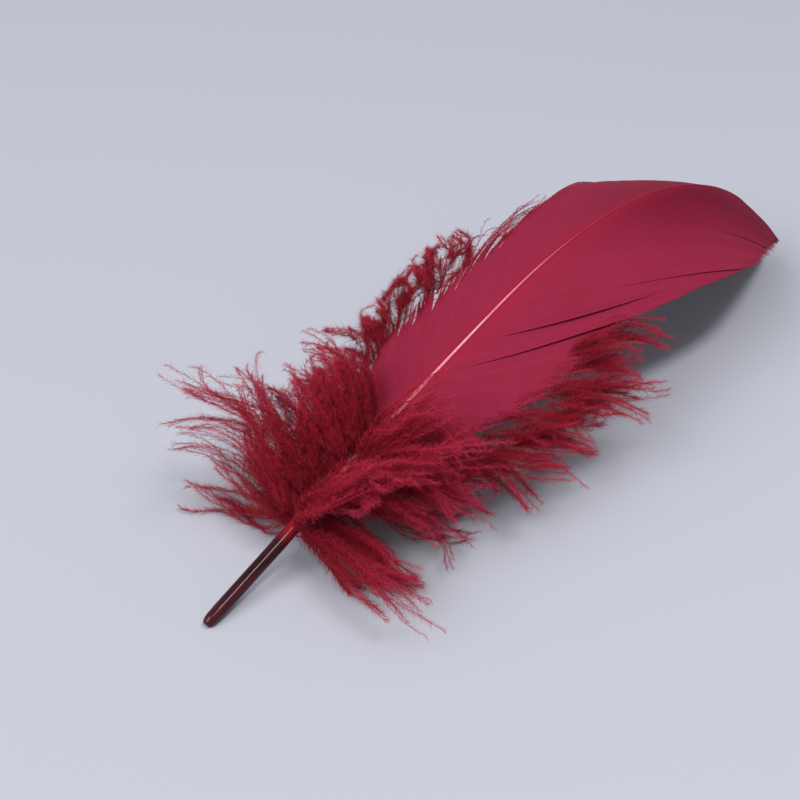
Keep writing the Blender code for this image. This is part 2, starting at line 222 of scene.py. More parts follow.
def vane_point(station, width, hand):
    """Point and normal of the vane's middle surface.

    Its slope grows evenly with the width, faster at the tip. The way out and down is the integral of the
    slope's cosine and sine.
    """
    start = math.radians(ROOF_AT_SHAFT_DEG)
    near_tip = np.clip((np.asarray(station, dtype=float) - TIP_ROOF_FROM) / TIP_ROOF_LENGTH, 0.0, 1.0)
    growth = (math.radians(ROOF_AT_EDGE_DEG) - start) / ROOF_WIDTH * (1.0 + 1.1 * near_tip)
    slope = start + growth * width
    out = (np.sin(slope) - math.sin(start)) / growth
    drop = (math.cos(start) - np.cos(slope)) / growth
    left = along(LEFTS, station)
    up = along(UPS, station)
    point = along(POINTS, station) + hand * out[..., None] * left - drop[..., None] * up
    return point, np.cos(slope)[..., None] * up + hand * np.sin(slope)[..., None] * left


print("20 mm out from the shaft at 100 mm", vane_point(0.100, np.array(0.020), 1)[0].round(4))

# %% [markdown]
# A barb leaves the shaft at an angle, turns towards the tip and ends at the margin of the vane. A circular
# arc is close to the real curve, so a few angles do the work of 310 splines.

# %% Paths of the barbs
BARBS = 310
BARB_RINGS = 26
FIRST_BARB = 0.036
LONGEST_BARB = 0.060
BARB_ANGLE_ROOTS = (0.036, 0.046, 0.0555, 0.080, 0.110, 0.140, 0.150, 0.158, 0.165)
BARB_ANGLE_DEG = (78.0, 58.0, 37.0, 34.0, 31.0, 28.0, 25.0, 19.0, 1.5)
BARB_TURN = 0.082
MARGIN_STATIONS = (0.030, 0.080, 0.090, 0.100, 0.110, 0.120, 0.128, 0.134, 0.140, 0.146, 0.152, 0.157,
                   0.161, 0.165, 0.168, 0.1702, 0.1716)
MARGIN_WIDTHS = (0.0170, 0.0172, 0.0188, 0.0208, 0.0221, 0.0226, 0.0218, 0.0203, 0.0183, 0.0159, 0.0133,
                 0.0110, 0.0090, 0.0066, 0.0042, 0.0019, 0.0000)
BASAL_STATIONS = (0.036, 0.042, 0.050, 0.060, 0.076)
BASAL_WIDTHS = (0.0075, 0.0105, 0.0142, 0.0168, 0.0165)
RIGHT_BASAL_END = 0.0555
LEFT_BASAL_END = 0.0750
BARB_ROOTS = np.linspace(FIRST_BARB, SHAFT_LENGTH, BARBS)
BARB_SHARE = np.linspace(0.0, 1.0, BARB_RINGS)[None, :]


def barb_angle(root):
    """Angle between the shaft and a barb at its root."""
    return np.radians(np.interp(root, BARB_ANGLE_ROOTS, BARB_ANGLE_DEG))


def barb_path(root, distance):
    """Station, width and angle of a barb at a distance from its root, on arrays of one shape."""
    angle = barb_angle(root)
    bend = angle / BARB_TURN
    here = angle - bend * distance
    return root + (np.sin(angle) - np.sin(here)) / bend, (np.cos(here) - np.cos(angle)) / bend, here


def barb_lengths(roots, basal_end):
    """Distance at which each barb first reaches the margin, which is narrower below basal_end."""
    distance = np.linspace(0.0, LONGEST_BARB, 481)
    root = np.broadcast_to(roots[:, None], (len(roots), len(distance)))
    station, width, here = barb_path(root, distance[None, :])
    upper = np.interp(station, MARGIN_STATIONS, MARGIN_WIDTHS)
    lower = np.interp(station, BASAL_STATIONS, BASAL_WIDTHS)
    beyond = width >= np.where(root < basal_end, lower, upper)
    return distance[np.where(beyond.any(axis=1), beyond.argmax(axis=1), len(distance) - 1)]


print("longest barb mm", round(float(barb_lengths(BARB_ROOTS, RIGHT_BASAL_END).max()) * 1000, 1))

# %% [markdown]
# No two barbs are quite alike, but neighbours are nearly so. Plain random numbers would jump from barb to
# barb, so the unevenness comes from a noise that is smooth along the row.

# %% Unevenness along a row
def smooth_noise(random, count, steps, octaves=3):
    """Noise along a row of items: cosine-blended random values at several scales, about -1 to 1."""
    total = np.zeros(count)
    place = np.linspace(0.0, 1.0, count)
    for octave in range(octaves):
        knots = random.uniform(-1.0, 1.0, steps * 2 ** octave + 2)
        where = place * (len(knots) - 1.001)
        base = where.astype(int)
        blend = 0.5 - 0.5 * np.cos(math.pi * (where - base))
        total += (knots[base] * (1.0 - blend) + knots[base + 1] * blend) / 2 ** octave
    return total / 1.5


print("noise along six items", smooth_noise(np.random.default_rng(1), 6, steps=3).round(2))

# %% [markdown]
# The lowest barbs aren't hooked together but run on past the margin as loose threads, in bundles. Where one
# comes loose depends more on its bundle than on itself, so the edge is ragged in tufts, not hair by hair.

# %% Loose barbs and their bundles
LOOSE_REACH = 0.007
LOOSE_EXTRA = 0.75
LOOSE_LENGTHS = (0.45, 1.0)
BUNDLE = 9.0
BUNDLE_STEPS = (0.4, 1.6)
CLOSED_SHARE = 0.90
CLOSED_RAGGED = 0.30


def loose_barbs(random, basal_end):
    """How loose each barb is, how much longer, its bundle, and the share up to which it is closed.

    Looseness grows from 0 at basal_end to 1 over LOOSE_REACH. The whole part of a running sum of uneven
    steps puts about BUNDLE barbs into each bundle.
    """
    loose = np.clip((basal_end - BARB_ROOTS) / LOOSE_REACH, 0.0, 1.0)
    further = 1.0 + LOOSE_EXTRA * loose * random.uniform(*LOOSE_LENGTHS, BARBS)
    bundle = (np.cumsum(random.uniform(*BUNDLE_STEPS, BARBS)) / BUNDLE).astype(int)
    ragged = 0.35 * random.random(BARBS) + 0.65 * random.random(bundle.max() + 1)[bundle]
    closed = (CLOSED_SHARE - CLOSED_RAGGED * ragged * loose) / further + 0.1 * (1.0 - loose)
    return loose, further, bundle, closed


print("loose barbs of the right vane", int((BARB_ROOTS < RIGHT_BASAL_END).sum()))

# %% [markdown]
# Where a vane was bent, its barbs have unhooked along a line, which the photo shows as a dark split. It could
# be cut out of the vane. Here the barbs on both sides move apart, and one side rises over the other, which
# is what really happens and leaves every barb whole.

# %% Splits
OPEN = 2.0
RIGHT_SPLITS = ((RIGHT_BASAL_END, 0.10, OPEN, -0.0006, -0.0012),
                (0.0625, 0.12, 0.70, -0.0012, -0.0010),
                (0.0695, 0.37, OPEN, -0.0008, -0.0006),
                (0.0980, 0.60, OPEN, -0.0012, -0.0003))
LEFT_SPLITS = ((0.0585, 0.35, OPEN, -0.0008, -0.0005),
               (0.0670, 0.30, OPEN, -0.0008, 0.0005),
               (LEFT_BASAL_END, 0.15, OPEN, -0.0010, -0.0005))
SPLIT_REACH = 0.0039
SPLIT_UNEVEN = (0.6, 1.05)


def part_at_splits(random, splits, shift, lift):
    """Add the splits to the barbs' sideways shifts and lifts, and return how far each ring is parted.

    A split has its place, the shares where it opens and closes, its gap and its step. The move is half a
    sine wave, or a quarter where the split is OPEN at the margin, and fades out over SPLIT_REACH.
    """
    parted = np.zeros_like(shift)
    for place, opens, closes, gap, step in splits:
        end = 1.0 if closes == OPEN else closes
        turn = 0.5 * math.pi if closes == OPEN else math.pi
        opening = np.sin(turn * np.clip((BARB_SHARE - opens) / (end - opens), 0.0, 1.0))
        if closes != OPEN:
            opening = np.where(BARB_SHARE < closes, opening, 0.0)
        side = np.where(BARB_ROOTS < place, 0.5, -0.5) * random.uniform(*SPLIT_UNEVEN, BARBS)
        near = np.clip(1.0 - np.abs(BARB_ROOTS - place) / SPLIT_REACH, 0.0, 1.0) * side
        shift += gap * opening * near[:, None]
        lift += step * opening * near[:, None]
        parted = np.maximum(parted, opening * np.abs(near)[:, None])
    return parted


print("splits, right and left", len(RIGHT_SPLITS), len(LEFT_SPLITS))

# %% [markdown]
# Beyond where they come loose, the threads of a bundle draw together, wave and sag. A simulation would be
# slow and hard to steer. Sine waves whose phase and pace the threads of a bundle nearly share look the same.

# %% Threads that gather, wave and sag
BUNDLE_PULL = 0.74
FULL_TURN = (0.0, 6.3)
WAVE_PACES = (4.0, 9.0)
WAVE_SIDEWAYS = 0.005
DRIFT_SIDEWAYS = 0.004
SAG_DEPTH = 0.012
WAVE_UPWARDS = 0.0035


def loosen(random, loose, bundle, closed, shift, lift):
    """Add the pull to the bundle's middle, waves and sag to the barbs' sideways shifts and lifts.

    Waves grow with the share gone since the barb came loose, and sag with that times the whole share.
    """
    bundles = bundle.max() + 1
    middle = (np.bincount(bundle, BARB_ROOTS) / np.maximum(np.bincount(bundle), 1))[bundle]
    gone = BARB_SHARE - closed[:, None]
    free = np.clip(gone, 0.0, 1.0) * loose[:, None]
    gather = BUNDLE_PULL * np.clip((gone + 0.06) / 0.30, 0.0, 1.0) * loose[:, None]
    shift -= gather * ((middle - BARB_ROOTS) * np.sin(barb_angle(BARB_ROOTS)))[:, None]
    phase = (random.uniform(*FULL_TURN, bundles)[bundle] + random.normal(0.0, 0.4, BARBS))[:, None]
    pace = (random.uniform(*WAVE_PACES, bundles)[bundle] + random.normal(0.0, 0.7, BARBS))[:, None]
    sag = (0.6 * random.random(bundles)[bundle] + 0.4 * random.random(BARBS))[:, None]
    drift = DRIFT_SIDEWAYS * smooth_noise(random, BARBS, steps=16)[:, None]
    shift += free * (WAVE_SIDEWAYS * np.sin(phase + pace * BARB_SHARE) + drift)
    lift -= free * SAG_DEPTH * sag * BARB_SHARE
    lift += free * WAVE_UPWARDS * np.sin(1.7 * phase + pace * BARB_SHARE)


print("threads sag by up to mm", SAG_DEPTH * 1000)

# %% [markdown]
# Hooked barbs lie edge over edge like narrow shingles. A flat sheet would lose the fine lines that catch the
# light, so each barb is a thin closed ribbon with a low ridge, as wide as its neighbours are far away.

# %% Ribbon sections
OVERLAP = 0.80
WIDEST_HALF = 0.00027
WIDER_LOOSE = 0.9
WIDER_TIP = 0.8
TIP_FAN_FROM = 0.130
TIP_FAN_LENGTH = 0.015
THREAD_RADIUS = 0.00005
RIDGE = 0.000012
TILT = 0.000006
BARB_DEPTH = 0.00005


def ribbon_sections(centres, here, parted, loose, closed, hand):
    """Four section points per ring of each barb: right rim, ridge, left rim and underside.

    A half-width is OVERLAP times the distance to the next barb on that side, at a split at least that of
    unparted barbs. Loose barbs narrow to threads, and all taper by a power of the share that is left.
    """
    ahead = unit(np.gradient(centres, axis=1))
    step = centres[1:] - centres[:-1]
    step = step - ahead[:-1] * np.sum(step * ahead[:-1], axis=-1, keepdims=True)
    apart = np.linalg.norm(step, axis=-1)
    spacing = (BARB_ROOTS[1] - BARB_ROOTS[0]) * np.sin(here[:-1])
    apart = np.where(parted[:-1] > 0.0, np.maximum(apart, spacing), apart)
    unfrayed = np.clip((closed[:, None] + 0.22 - BARB_SHARE) / 0.25, 0.0, 1.0)
    ribbon = unfrayed * loose[:, None] + (1.0 - loose[:, None])
    near_tip = np.clip((BARB_ROOTS - TIP_FAN_FROM) / TIP_FAN_LENGTH, 0.0, 1.0)
    widest = WIDEST_HALF * (1.0 + WIDER_LOOSE * loose + WIDER_TIP * near_tip)[:, None]
    taper = np.clip((1.0 - BARB_SHARE) / 0.05, 0.06, 1.0) ** 0.7
    thread = THREAD_RADIUS * (1.0 - 0.6 * BARB_SHARE)
    before = np.minimum(np.concatenate([apart[:1], apart]) * OVERLAP, widest) * ribbon
    after = np.minimum(np.concatenate([apart, apart[-1:]]) * OVERLAP, widest) * ribbon
    tip_side = np.maximum(after, thread) * taper
    base_side = np.maximum(before, thread) * taper
    right, left = (tip_side, base_side) if hand > 0 else (base_side, tip_side)
    lean = TILT * ribbon * hand
    return np.stack([
        np.stack([right, lean], axis=-1),
        np.stack([0.1 * (right - left), np.full_like(right, RIDGE)], axis=-1),
        np.stack([-left, -lean], axis=-1),
        np.stack([np.zeros_like(right), -BARB_DEPTH * taper * np.ones_like(right)], axis=-1)], axis=2)


print("thread thickness mm", 2000 * THREAD_RADIUS)

# %% [markdown]
# Each vane is one piece, because its barbs are hooked into one sheet. The ends of the loose barbs are kept,
# since the fringe of barbules grows on them later.

# %% Both vanes
WAVER_SIDEWAYS = 0.00010
WAVER_UPWARDS = 0.00012
LOWEST_BARB = 0.0001


def vane(name, hand, basal_end, splits, seed):
    """One vane as a piece, and the centre lines of its loose barbs with the share where each comes loose.

    Every barb follows its path on the vane's surface. Splits, a slight waver and, where it is loose, its
    own waves then move it across its length and off the surface.
    """
    random = np.random.default_rng(seed)
    lengths = barb_lengths(BARB_ROOTS, basal_end)
    lengths *= (1.0 - 0.035 * random.random(BARBS) ** 2
                + 0.006 * smooth_noise(random, BARBS, steps=40))
    loose, further, bundle, closed = loose_barbs(random, basal_end)
    root = np.broadcast_to(BARB_ROOTS[:, None], (BARBS, BARB_RINGS))
    station, width, here = barb_path(root, BARB_SHARE * (lengths * further)[:, None])
    shift = np.zeros_like(station)
    lift = np.zeros_like(station)
    parted = part_at_splits(random, splits, shift, lift)
    shift += WAVER_SIDEWAYS * smooth_noise(random, BARBS, steps=46)[:, None] * BARB_SHARE ** 1.5
    lift += WAVER_UPWARDS * smooth_noise(random, BARBS, steps=30, octaves=2)[:, None] * BARB_SHARE ** 1.2
    loosen(random, loose, bundle, closed, shift, lift)
    station = station - np.sin(here) * shift
    width = np.maximum(width + np.cos(here) * shift, 0.0)
    centres, normals = vane_point(station, width, hand)
    centres = centres + normals * lift[..., None]
    sections = ribbon_sections(centres, here, parted, loose, closed, hand)
    shades = np.stack([np.broadcast_to(BARB_SHARE, station.shape), root / SHAFT_LENGTH], axis=-1)
    centres[..., 2] = np.maximum(centres[..., 2], LOWEST_BARB)
    piece = strands(name, centres, normals, sections, shades)
    crease(piece, sides=4, points=(0, 2))
    fluffy = loose > 0.2
    return piece, centres[fluffy], closed[fluffy]


right_vane, right_loose, right_from = vane("vane_right", -1, RIGHT_BASAL_END, RIGHT_SPLITS, seed=7)
left_vane, left_loose, left_from = vane("vane_left", 1, LEFT_BASAL_END, LEFT_SPLITS, seed=8)

# %% [markdown]
# The quill is a horn tube, blunt where it was pulled, and the shaft tapers on from it between the vanes. One
# round section with a changing radius makes both without a joint, with a shallow groove below.

# %% Quill and shaft
SHAFT_STATIONS = (0.0, 0.0004, 0.0012, 0.0030, 0.0170, 0.0215, 0.0260, 0.0330, 0.0440, 0.0600, 0.0900,
                  0.1300, 0.1650, 0.1713)
SHAFT_RADII = (0.00060, 0.00088, 0.00105, 0.00111, 0.00113, 0.00106, 0.00088, 0.00056, 0.00034, 0.00024,
               0.00016, 0.00012, 0.00008, 0.00004)
SHAFT_SIDES = 28
SHAFT_RINGS = 340
BLUNT_LENGTH = 0.003
BLUNT_RINGS = 16
GROOVE_DEPTH = 0.16
GROOVE_WIDTH = 0.35
GROOVE_FROM = 0.024
GROOVE_FADE = 0.02


def shaft_piece():
    """Quill and shaft: a circle with a bell-shaped groove below, carried along the shaft's curve."""
    start = np.linspace(0.0, BLUNT_LENGTH, BLUNT_RINGS)
    rest = np.linspace(BLUNT_LENGTH, SHAFT_STATIONS[-1], SHAFT_RINGS - BLUNT_RINGS + 1)[1:]
    stations = np.concatenate([start, rest])
    radii = np.interp(stations, SHAFT_STATIONS, SHAFT_RADII)
    angle = np.linspace(0.0, 2.0 * math.pi, SHAFT_SIDES, endpoint=False)
    groove = 1.0 - GROOVE_DEPTH * np.exp(-((angle - 1.5 * math.pi) / GROOVE_WIDTH) ** 2)
    beyond = np.clip((stations - GROOVE_FROM) / GROOVE_FADE, 0.0, 1.0)[:, None]
    profile = radii[:, None] * (1.0 + (groove[None, :] - 1.0) * beyond)
    section = np.stack([profile * np.cos(angle), profile * np.sin(angle)], axis=-1)[None]
    shades = np.stack([stations / SHAFT_STATIONS[-1], np.zeros_like(stations)], axis=-1)[None]
    return strands("shaft", along(POINTS, stations)[None], along(UPS, stations)[None], section, shades)


shaft = shaft_piece()
print("quill thickness mm", round(2000 * max(SHAFT_RADII), 2))

# %% [markdown]
# Down is soft barbs with long fine barbules that never hook together, gathered in locks. A lock's line is the
# running sum of a direction that sags and swings, which takes fewer numbers than a spline.

# %% Centre line of a lock
LOCK_RINGS = 6
LOCK_RADIUS = 0.00200
LOCK_SWELL_END = 0.71
LOCK_ROOT_RADIUS = 0.00056
LOCK_TIP_RADIUS = 0.00026
LOCK_LIFT = 0.95
DROOP_POWER = 1.5
SWING_TURN = 4.2
PHASES = (0.0, 2.0)
VERTICAL = (0.0, 0.0, 1.0)


def lock_line(start, heading, droop, curl, length, phase):
    """A lock's line: it starts along a heading, sags and swings. It is raised where a lock would sink in."""
    share = np.linspace(0.0, 1.0, LOCK_RINGS)
    heading = heading / np.linalg.norm(heading)
    across = np.cross(heading, VERTICAL)
    across /= np.linalg.norm(across)
    swing = curl * share * np.sin(phase + SWING_TURN * share)
    direction = heading[None, :] + across[None, :] * swing[:, None]
    direction[:, 2] -= droop * share ** DROOP_POWER
    direction = unit(direction)
    moves = np.cumsum((direction[1:] + direction[:-1]) * 0.5 * length / (LOCK_RINGS - 1), axis=0)
    line = np.concatenate([start[None, :], start[None, :] + moves])
    swell = 0.55 + 0.45 * np.sin(math.pi * np.clip(share / LOCK_SWELL_END, 0.0, 1.0))
    radii = np.maximum(LOCK_RADIUS * swell * (1.0 - share) ** 0.6, LOCK_TIP_RADIUS)
    radii[0] = LOCK_ROOT_RADIUS
    line[:, 2] = np.maximum(line[:, 2], radii * LOCK_LIFT)
    return line


def drawn_line(random, start, heading, ranges, fullness=1.0):
    """A lock's line with its length, droop, curl and phase drawn from their ranges."""
    lengths, droops, curls = ranges
    length = random.uniform(*lengths) * fullness
    droop = random.uniform(*droops)
    curl = random.uniform(*curls) * random.choice((-1.0, 1.0))
    return lock_line(start, heading, droop, curl, length, random.uniform(*PHASES))


print("locks are at most mm thick", 2000 * LOCK_RADIUS)


# %% [markdown]
# Round the lower shaft the locks stand out to both sides and partly up. Strewn at random, they would leave
# gaps, so their leans and heights take every part of their ranges in turn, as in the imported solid.

# %% Locks round the lower shaft
SEED = 41
SHAFT_LOCKS = 46
LOCK_FROM = 0.0190
LOCK_TO = 0.0405
FULLNESS = (0.80, 0.30)
FULLNESS_SHIFT = 0.15
SHAFT_LOCK_LEANS_DEG = (56.0, 108.0)
LEAN_TURN = 0.618
LEAN_SPREAD_DEG = 5.0
LEAN_FALL_DEG = 26.0
RAISED_DEG = (-22.0, 12.0, 44.0)
RAISED_SPREAD_DEG = 9.0
SHAFT_LOCK_RANGES = ((0.023, 0.034), (0.5, 1.1), (0.35, 0.95))


def shaft_lock_lines(random):
    """Centre lines of the locks round the lower shaft, left and right in turn and at three heights."""
    lines = []
    for number in range(SHAFT_LOCKS):
        hand = 1 if number % 2 else -1
        share = number / (SHAFT_LOCKS - 1)
        root = LOCK_FROM + (LOCK_TO - LOCK_FROM) * share
        low, high = SHAFT_LOCK_LEANS_DEG
        turn = (number // 2 * LEAN_TURN) % 1.0
        spread = random.uniform(-LEAN_SPREAD_DEG, LEAN_SPREAD_DEG)
        lean = math.radians(low + (high - low) * turn + spread - LEAN_FALL_DEG * share)
        height = RAISED_DEG[(number // 2) % len(RAISED_DEG)]
        raised = math.radians(height + random.uniform(-RAISED_SPREAD_DEG, RAISED_SPREAD_DEG))
        outwards = math.cos(raised) * hand * along(LEFTS, root) + math.sin(raised) * along(UPS, root)
        heading = math.cos(lean) * along(TANGENTS, root) + math.sin(lean) * outwards
        fullness = FULLNESS[0] + FULLNESS[1] * math.sin(math.pi * min(share + FULLNESS_SHIFT, 1.0))
        lines.append(drawn_line(random, along(POINTS, root), heading, SHAFT_LOCK_RANGES, fullness))
    return lines


lock_random = np.random.default_rng(SEED)
SHAFT_LINES = shaft_lock_lines(lock_random)
print("locks on the shaft", len(SHAFT_LINES))


# %% [markdown]
# More locks carry on from the ends of the lowest barbs, so that the down closes up with the vanes.

# %% Locks along the vanes' lower edges
EDGE_LOCKS = 10
EDGE_LOCK_FROM = 0.0375
EDGE_LOCK_TO = 0.0530
EDGE_LOCK_INSET = 0.004
EDGE_LOCK_RANGES = ((0.017, 0.026), (0.2, 0.7), (0.3, 0.8))
EDGE_LOCK_LIFT = 0.05


def edge_lock_lines(random):
    """Centre lines of the locks that carry on from the lowest barbs of each vane."""
    lines = []
    for hand, basal_end in ((-1, RIGHT_BASAL_END), (1, LEFT_BASAL_END)):
        for root in np.linspace(EDGE_LOCK_FROM, EDGE_LOCK_TO, EDGE_LOCKS):
            reach = barb_lengths(np.array([root]), basal_end)[0] - EDGE_LOCK_INSET
            station, width, here = barb_path(root, reach)
            start, normal = vane_point(station, width, hand)
            tangent = along(TANGENTS, station)
            sideways = np.cross(normal, tangent) * hand
            heading = math.cos(here) * tangent + math.sin(here) * sideways + EDGE_LOCK_LIFT * normal
            lines.append(drawn_line(random, start, heading, EDGE_LOCK_RANGES))
    return lines


LOCKS = np.array(SHAFT_LINES + edge_lock_lines(lock_random))
print("locks", len(LOCKS), "highest mm", round(float(LOCKS[..., 2].max()) * 1000, 1))

# %% [markdown]
# A lock's line has six points only. Its rami need a smoother one, and both rami and barbules start at any
# share of a line, so two helpers come first: a curve through the points, and a lookup on it.

# %% Smooth lines and places on them
FINE_RINGS = 64


def resample(lines, rings):
    """Smooth lines through the given points, with more rings, by Catmull-Rom blending."""
    before = 2 * lines[:, :1] - lines[:, 1:2]
    after = 2 * lines[:, -1:] - lines[:, -2:-1]
    padded = np.concatenate([before, lines, after], axis=1)
    where = np.linspace(0.0, lines.shape[1] - 1.0001, rings)
    base = where.astype(int)
    t = (where - base)[None, :, None]
    a, b, c, d = (padded[:, base + k] for k in range(4))
    return 0.5 * (2 * b + (c - a) * t + (2 * a - 5 * b + 4 * c - d) * t ** 2
                  + (3 * b - a - 3 * c + d) * t ** 3)


def points_at(lines, row, share):
    """Points at shares of the way along rows of lines, and the ring just before each."""
    rings = lines.shape[1]
    spot = share * (rings - 1)
    base = np.minimum(spot.astype(int), rings - 2)
    part = (spot - base)[..., None]
    return lines[row, base] * (1 - part) + lines[row, base + 1] * part, base


FINE_LOCKS = resample(LOCKS, FINE_RINGS)
print("lines of", FINE_LOCKS.shape[1], "points out of", LOCKS.shape[1])

# %% [markdown]
# The rami of a lock gather in tufts, and each tuft ends in a point like a wet brush, with a few strays. A
# tuft sways and strays as one, and its rami close up towards its tip. All that is a sum of small offsets.

# %% Tufts of rami
RAMI = 13
TUFTS = 5
RAMUS_RINGS = 16
TUFT_LOWS = ((0.0,), (-2.2,), (5.0,), (0.0,))
TUFT_HIGHS = ((6.3,), (2.2,), (12.0,), (6.3,))
TUFT_RADIUS = 0.0010
SWAY = 0.0011
TUFT_STRAY = 0.0022
STRAY_SHARE = 0.22
SINGLE_STRAY = 0.0026
OTHER_STRAY = 0.0008
BOW_PACES = (4.0, 9.0)
SINGLE_BOW = 0.0018
OTHER_BOW = 0.0003


def rami_shares(random, tuft, begins):
    """Share of its own length, and share of the lock's length, at each ring of each ramus."""
    reach = (1.0 - 0.42 * random.random(tuft.max() + 1) ** 1.5)[tuft]
    reach = reach * random.uniform(0.86, 1.0, len(tuft))
    begin = begins * random.random(len(tuft))
    own_share = np.linspace(0.0, 1.0, RAMUS_RINGS)[None, :]
    return own_share, begin[:, None] + own_share * (reach - begin)[:, None]


def rami_offsets(random, tuft, own_share, share, rises):
    """Distances of each ring from its lock's line, sideways and upwards.

    They sum up the tuft's place at an angle that turns, the ramus's place round the tuft's middle, a sway,
    a bow and a stray that grows with the square of the share. Single rami stray and bow more. Strays go up
    only, by the share in rises.
    """
    count = len(tuft)
    tufts = tuft.max() + 1
    start, turns, pace, phase = random.uniform(TUFT_LOWS, TUFT_HIGHS, (4, tufts))[:, tuft, None]
    angle = start + share * turns
    swell = 0.25 + 1.05 * np.sin(math.pi * np.clip(share / 1.3, 0.0, 1.0)) ** 0.8
    off = LOCK_RADIUS * np.sqrt(random.random(tufts))[tuft, None] * swell
    own_angle = random.uniform(0.0, 2.0 * math.pi, count)[:, None] + 2.0 * share
    own = TUFT_RADIUS * np.sqrt(random.random(count))[:, None]
    own = own * (0.4 + np.sin(math.pi * own_share ** 0.7))
    sway = SWAY * share * np.sin(share * pace + phase)
    single = random.random(count) < STRAY_SHARE
    stray = random.normal(0.0, TUFT_STRAY, (2, tufts))[:, tuft]
    stray = stray + random.normal(0.0, 1.0, (2, count)) * np.where(single, SINGLE_STRAY, OTHER_STRAY)
    stray = stray[..., None] * share ** 2
    bow = random.uniform(*BOW_PACES, count)[:, None] * own_share + random.uniform(*FULL_TURN, count)[:, None]
    bow_size = np.where(single, SINGLE_BOW, OTHER_BOW)[:, None] * share
    sideways = off * np.cos(angle) + own * np.cos(own_angle) + sway + stray[0] + bow_size * np.sin(bow)
    upwards = (off * np.sin(angle) + own * np.sin(own_angle)
               + rises * (np.abs(stray[1]) + bow_size * np.cos(bow)))
    return sideways, upwards


print("rami in a lock", RAMI, "in tufts", TUFTS)

# %% [markdown]
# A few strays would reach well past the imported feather's sides. Leaving them out would thin the down, so each
# is drawn in towards its lock instead.

# %% Lines of the rami
LOWEST_RAMUS = 0.0002


def rami_of(lines, begins, rises, random):
    """Lines of the rami round some locks' lines, and the share of the lock at each ring.

    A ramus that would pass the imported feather's sides has its offsets scaled by the share that keeps it in.
    """
    lock = np.repeat(np.arange(len(lines)), RAMI)
    tuft = lock * TUFTS + np.arange(len(lock)) % TUFTS
    own_share, share = rami_shares(random, tuft, np.repeat(begins, RAMI))
    sideways, upwards = rami_offsets(random, tuft, own_share, share, np.repeat(rises, RAMI)[:, None])
    centre, base = points_at(lines, lock[:, None], share)
    ahead = unit(np.gradient(centre, axis=1))
    across = unit(np.cross(ahead, VERTICAL))
    rise = np.cross(across, ahead)
    line = centre + across * sideways[..., None] + rise * upwards[..., None]
    offset = line - centre
    beyond = np.clip(np.abs(line[..., 1]) - cad_high[1], 0.0, None)
    held = np.clip(1.0 - beyond / np.maximum(np.abs(offset[..., 1]), TINY), 0.0, 1.0).min(axis=1)
    line = centre + offset * held[:, None, None]
    line[..., 2] = np.maximum(line[..., 2], LOWEST_RAMUS)
    return line, share


print("sides that the rami keep to, mm", round(cad_high[1] * 1000, 1))

# %% [markdown]
# Barbules are the hairs on a feather's hairs and make the haze at a lock's rim. At this size a closed spike
# of four triangles looks like a tube of dozens, so there can be many.

# %% Barbules
BARBULE_RADIUS = 0.000036
BARBULE_LEANS = (0.4, 2.4)
BARBULE_SIZES = (0.5, 1.3)
LOWEST_BARBULE = 0.00005
SLANT = (0.13, 0.21, 0.97)


def spikes(name, starts, ends, radius, shades):
    """Fine closed spikes, four triangles each: a small base across the spike and a point at its end."""
    ahead = unit(ends - starts)
    across = unit(np.cross(ahead, SLANT))
    rise = np.cross(ahead, across)
    angle = 2.0 * math.pi * np.arange(3) / 3
    base = (starts[:, None, :] + radius * (np.cos(angle)[None, :, None] * across[:, None, :]
                                           + np.sin(angle)[None, :, None] * rise[:, None, :]))
    vertices = np.concatenate([base, ends[:, None, :]], axis=1).reshape(-1, 3)
    one = np.array([(0, 2, 1), (0, 1, 3), (1, 2, 3), (2, 0, 3)])
    faces = (np.arange(len(starts))[:, None, None] * 4 + one[None]).reshape(-1, 3)
    return mesh_piece(name, vertices, faces, np.repeat(shades, 4, axis=0))


def barbules_of(lines, first, each, length, random):
    """Starts and ends of barbules on all sides of lines, from the share first of each line on.

    They come at uneven steps, lean towards the tip and get shorter towards it.
    """
    row = np.arange(len(lines))[:, None]
    place = (np.arange(each)[None, :] + random.random((len(lines), each))) / each
    place = first[:, None] + (0.99 - first[:, None]) * place
    start, base = points_at(lines, row, place)
    ahead = unit(lines[row, base + 1] - lines[row, base])
    sideways = unit(np.cross(ahead, random.normal(size=start.shape)))
    lean = random.uniform(*BARBULE_LEANS, place.shape)[..., None]
    size = length * random.uniform(*BARBULE_SIZES, place.shape) * (1.0 - 0.6 * place)
    end = start + unit(sideways + lean * ahead) * size[..., None]
    start[..., 2] = np.maximum(start[..., 2], LOWEST_BARBULE)
    end[..., 2] = np.maximum(end[..., 2], LOWEST_BARBULE)
    return start.reshape(-1, 3), end.reshape(-1, 3), place


def fuzz_piece(name, lines, first, each, length, tone, random):
    """Barbules along lines as one piece."""
    start, end, place = barbules_of(lines, first, each, length, random)
    shades = np.stack([place, np.broadcast_to(tone[:, None], place.shape)], axis=-1).reshape(-1, 2)
    piece = spikes(name, start, end, BARBULE_RADIUS, shades)
    print(name, "barbules", len(start), "triangles", len(piece.data.polygons))
    return piece


# %% [markdown]
# The down is more than one mesh should hold. Every fourth lock goes into the same group, which so reaches all
# round the shaft, and its rami and its barbules are a piece each. Locks on the shaft stand up freely, while
# those on a vane's edge lie under it and start further out.

# %% The down
GROUPS = 4
DOWN_SEED = 100
RAMUS_RADIUS = 0.000036
BARBULES = 198
BARBULE_LENGTH = 0.0028
BARBULES_FROM = 0.05
ON_SHAFT = np.arange(len(LOCKS)) < SHAFT_LOCKS
BEGINS = np.where(ON_SHAFT, 0.06, 0.42)
RISES = np.where(ON_SHAFT, 0.6, 0.1)


